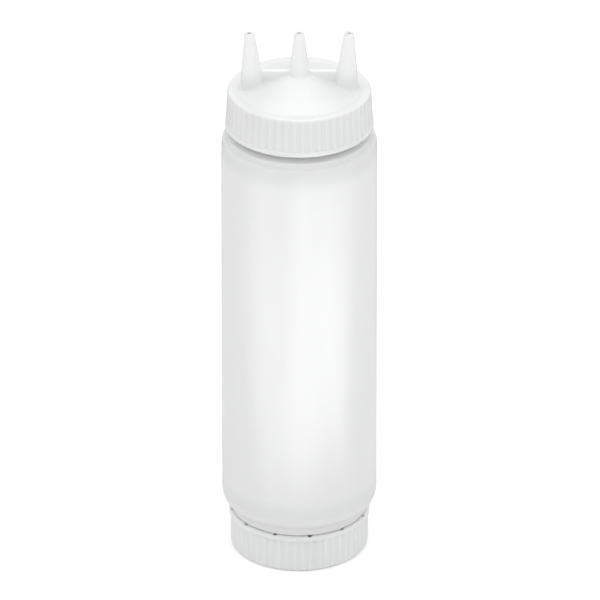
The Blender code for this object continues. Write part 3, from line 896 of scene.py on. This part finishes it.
milky_wall = new_plastic("milky_wall", pale=(0.955, 0.957, 0.957), deep=(0.91, 0.915, 0.917), cloud_size=30.0,
                         roughness=0.34, spread=0.08, waviness=0.8, grain=0.1, relief=0.2, glow=0.3,
                         transmission=0.25)
milky_cap = new_plastic("milky_cap", pale=(0.765, 0.768, 0.768), deep=(0.715, 0.721, 0.723), cloud_size=40.0,
                        roughness=0.32, spread=0.08, waviness=0.5, grain=0.1, relief=0.1, glow=0.5,
                        transmission=0.05)
milky_base = new_plastic("milky_base", pale=(0.775, 0.779, 0.78), deep=(0.725, 0.731, 0.733), cloud_size=40.0,
                         roughness=0.32, spread=0.08, waviness=0.5, grain=0.1, relief=0.1, glow=0.5,
                         transmission=0.05)
soft_rubber = new_plastic("soft_rubber", pale=(0.80, 0.80, 0.78), deep=(0.74, 0.74, 0.72), cloud_size=60.0,
                          roughness=0.60, spread=0.10, waviness=0.4, grain=0.4, relief=0.1, glow=0.2,
                          transmission=0.0)

# %% [markdown]
# Light that shines through milky plastic, and shade that falls on it, are painted into the colour here. The nozzles,
# the web and the top of the cone get a paler colour, up to the tips' blunt ends: a painted glow that stands in for
# light through the thin plastic. The tips' blunt ends get a deeper one, painted shade that dims their tops. The
# bottle's wall gets a deeper band over each shoulder, painted shade where the caps keep light out of the ends. Vertex
# colours could carry these tints.
# A third shared effect, a soft ramp over a piece's height, does it without touching the mesh, and is smooth at any
# size.

# %% Paint glow and shade into the plastics over their height
height_mask, given, result = new_group(
    "height_mask", [("Place", "Vector", None), ("From", "Float", 0.0), ("To", "Float", 1.0)], [("Mask", "Float")])
split_place = height_mask.nodes.new("ShaderNodeSeparateXYZ")
height_ramp = height_mask.nodes.new("ShaderNodeMapRange")
height_ramp.interpolation_type = "SMOOTHSTEP"
feed(height_mask, split_place.inputs["Vector"], given["Place"])
feed(height_mask, height_ramp.inputs["Value"], split_place.outputs["Z"])
feed(height_mask, height_ramp.inputs["From Min"], given["From"])
feed(height_mask, height_ramp.inputs["From Max"], given["To"])
feed(height_mask, result["Mask"], height_ramp.outputs["Result"])


def paint_glow_and_shade(material, colour, *ramps):
    """Mix in a colour of painted glow or painted shade where all ramps are 1. A ramp is (height where it is 0, height
    where it is 1).
    """
    tree = material.node_tree
    base_colour = tree.nodes["Principled BSDF"].inputs["Base Color"]
    place = tree.nodes.new("ShaderNodeTexCoord").outputs["Object"]
    mask = 1.0
    for start, end in ramps:
        ramp = place_group(tree, height_mask, Place=place, From=start * MM, To=end * MM)
        mask = maths(tree, "MULTIPLY", ramp["Mask"], mask)
    own_colour = base_colour.links[0].from_socket
    feed(tree, base_colour, mixed(tree, mask, own_colour, (*colour, 1.0)))
    print(material.name, "tinted over", ramps, "mm")


# Painted glow: the nozzles, the web and the cone's top are paler, standing in for light through the thin plastic.
paint_glow_and_shade(milky_cap, (0.84, 0.843, 0.843), (233.0, 242.0))
# Painted shade: the tips' blunt ends are deeper, which dims their lit tops.
paint_glow_and_shade(milky_cap, (0.70, 0.703, 0.703), (257.0, 257.45))
# Painted shade: the wall is deeper over the upper shoulder, below the cap.
paint_glow_and_shade(milky_wall, (0.85, 0.854, 0.856), (194.0, 202.5))
# Painted shade: the wall is deeper in a band over the lower shoulder, above the base cap.
paint_glow_and_shade(milky_wall, (0.88, 0.884, 0.886), (38.0, 32.0), (26.0, 29.0))

# %% [markdown]
# ## Put the pieces on the model
#
# On the real bottle the caps turn and climb on their threads, and each seal comes off with its cap. They could be
# parented by hand, but the imported model already knows how each body moves. So each piece rides on the body of its
# plain twin, replaces it in the picture, and gets its finish.

# %% Ride, replace and finish
for piece, node, slot, material in ((bottle, "bottle", "bottle_plastic", milky_wall),
                                    (base_cap, "base_cap", "base_plastic", milky_base),
                                    (tri_tip_cap, "tri_tip_cap", "cap_plastic", milky_cap),
                                    (base_seal, "base_seal", "seal_rubber", soft_rubber),
                                    (top_seal, "top_seal", "seal_rubber", soft_rubber)):
    piece.data.materials.append(material)
    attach(piece, node)
    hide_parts(node)
    print(piece.name, "rides on", node, "with", material.name)

# %% [markdown]
# ## Table and room
#
# The bottle stands on a white table in a white room. More light would bring both up to white, but it would burn out
# the pale bottle too. So the table is a pale grey sheet with a little glow that only the camera sees, and it keeps
# the bottle's shadow. The room lights the bottle evenly, and is exactly white to whoever looks at it, which is the
# camera, reflections and clear plastic.

# %% Build the table and the room
MATT = 0.9
FLOOR_HALF = 6.0
FLOOR_GREY = 0.75
FLOOR_GLOW = 0.3
ROOM_LEVEL = 1.04


def stage_sheet(name, corners, faces, paint_name, grey):
    """A flat matt sheet that belongs to the studio and not to the bottle."""
    mesh = bpy.data.meshes.new(name)
    mesh.from_pydata(corners, [], faces)
    sheet = bpy.data.objects.new(name, mesh)
    bpy.context.scene.collection.objects.link(sheet)
    paint = bpy.data.materials.new(paint_name)
    paint.use_nodes = True
    shader = paint.node_tree.nodes["Principled BSDF"].inputs
    shader["Base Color"].default_value = (grey, grey, grey, 1.0)
    shader["Roughness"].default_value = MATT
    mesh.materials.append(paint)
    return sheet


floor_corners = [(-FLOOR_HALF, -FLOOR_HALF, 0), (FLOOR_HALF, -FLOOR_HALF, 0), (FLOOR_HALF, FLOOR_HALF, 0),
                 (-FLOOR_HALF, FLOOR_HALF, 0)]
floor = stage_sheet("floor", floor_corners, [(0, 1, 2, 3)], "floor_paint", FLOOR_GREY)
floor_tree = floor.data.materials[0].node_tree
floor_shader = floor_tree.nodes["Principled BSDF"].inputs
floor_shader["Specular IOR Level"].default_value = 0.0
floor_shader["Emission Color"].default_value = (1.0, 1.0, 1.0, 1.0)
floor_path = floor_tree.nodes.new("ShaderNodeLightPath").outputs
feed(floor_tree, floor_shader["Emission Strength"],
     maths(floor_tree, "MULTIPLY", floor_path["Is Camera Ray"], FLOOR_GLOW))

world = bpy.data.worlds.new("studio")
bpy.context.scene.world = world
world.use_nodes = True
room = world.node_tree
background = room.nodes["Background"].inputs
background["Color"].default_value = (1.0, 1.0, 1.0, 1.0)
room_path = room.nodes.new("ShaderNodeLightPath").outputs
seen = maths(room, "MAXIMUM", room_path["Is Camera Ray"], room_path["Is Glossy Ray"])
seen = maths(room, "MAXIMUM", seen, room_path["Is Transmission Ray"])
feed(room, background["Strength"], maths(room, "ADD", maths(room, "MULTIPLY", seen, 1.0 - ROOM_LEVEL), ROOM_LEVEL))
print("table", FLOOR_GREY, "with a glow of", FLOOR_GLOW, "and the room at", ROOM_LEVEL)

# %% [markdown]
# ## Lamps
#
# The lamps are soft boxes that the camera can't see. One large box would do for an even light. A weak key a little
# to the right, two boxes high at the sides that model the ribs, and one overhead for the caps show the shape better.
# Each lamp's level says how bright its face is, next to a white of 1, and its power follows from its area.

# %% Set up the soft boxes
BOX_DISTANCE = 1.6
BOTTLE_MIDDLE = Vector((0, 0, 0.125))


def soft_box(name, place, facing, width, height, level):
    """A glowing rectangle that the camera doesn't see. Its level is how bright its face is."""
    data = bpy.data.lights.new(name, "AREA")
    data.shape = "RECTANGLE"
    data.size = width
    data.size_y = height
    data.energy = math.pi * width * height * level
    lamp = bpy.data.objects.new(name, data)
    lamp.location = place
    lamp.rotation_euler = facing.to_track_quat("-Z", "Y").to_euler()
    lamp.visible_camera = False
    bpy.context.scene.collection.objects.link(lamp)
    print(name, round(width, 2), "x", round(height, 2), "m,", round(data.energy, 2), "W")
    return lamp


def box_towards(name, azimuth, elevation, width, height, level):
    """A soft box in a direction from the bottle. Azimuth 0 is towards the camera, and grows to the right."""
    around, up = math.radians(azimuth), math.radians(elevation)
    away = Vector((math.sin(around) * math.cos(up), -math.cos(around) * math.cos(up), math.sin(up)))
    return soft_box(name, BOTTLE_MIDDLE + away * BOX_DISTANCE, -away, width, height, level)


for name, azimuth, elevation, width, height, level in (("key", 10, 20, 1.4, 1.0, 0.46),
                                                       ("high_left", -60, 50, 0.8, 0.8, 0.7),
                                                       ("high_right", 60, 50, 0.8, 0.8, 0.57),
                                                       ("top", 0, 88, 0.75, 0.9, 1.23)):
    box_towards(name, azimuth, elevation, width, height, level)

# %% [markdown]
# ## Reflected cards
#
# The rest is seen in reflections only. A shallow cone, seen from above, mirrors what is high behind it, so a long
# strip there draws the bright wedge on the cap. An upright wall, seen from above, mirrors the table in front, so
# four glowing cards in an arc on the table draw the broad bright column on the body. Stronger lamps would give the
# same shine, but light the whole bottle with it. The cards' spread is limited, as by a honeycomb grid, so that they
# don't burn out the edges when the bottle is seen from behind.

# %% Lay out the strip and the cards
CARD_HEIGHT = 0.003
CARD_SPREAD = math.radians(148)

reflected = [box_towards("strip", 180, 61, 0.55, 1.36, 2.4)]
for name, left, right, near, far, level in (("card_left", -0.35, -0.05, 0.08, 0.28, 3.0),
                                            ("card_middle", -0.05, 0.10, 0.11, 0.40, 5.5),
                                            ("card_right", 0.10, 0.25, 0.07, 0.31, 5.8),
                                            ("card_side", 0.25, 0.40, 0.05, 0.18, 3.0)):
    middle = Vector(((left + right) / 2, -(near + far) / 2, CARD_HEIGHT))
    card = soft_box(name, middle, Vector((0, 0, 1)), right - left, far - near, level)
    card.rotation_euler = (math.pi, 0, 0)
    card.data.spread = CARD_SPREAD
    reflected.append(card)
for lamp in reflected:
    lamp.visible_diffuse = False
    lamp.visible_transmission = False
print("seen in reflections only:", [lamp.name for lamp in reflected])

# %% [markdown]
# ## Black flag
#
# A pale object on white loses its edges. A photographer puts black cards beside it, whose reflections draw a fine
# dark line along its sides. Ours lies on the table behind the bottle, narrow near it and wide farther back. It is
# seen in reflections only, and casts no shadow.

# %% Lay out the flag
FLAG_GREY = 0.05
FLAG_OUTLINE = ((-0.1, 0.22), (0.1, 0.22), (0.1, 0.38), (0.5, 0.38), (0.5, 0.65), (-0.5, 0.65), (-0.5, 0.38),
                (-0.1, 0.38))

flag = stage_sheet("flag", [(x, y, CARD_HEIGHT) for x, y in FLAG_OUTLINE], [(0, 1, 2, 7), (7, 2, 3, 4, 5, 6)],
                   "flag_cloth", FLAG_GREY)
flag.visible_camera = False
flag.visible_diffuse = False
flag.visible_transmission = False
flag.visible_shadow = False
print("flag", [round(side, 2) for side in flag.dimensions], "m")
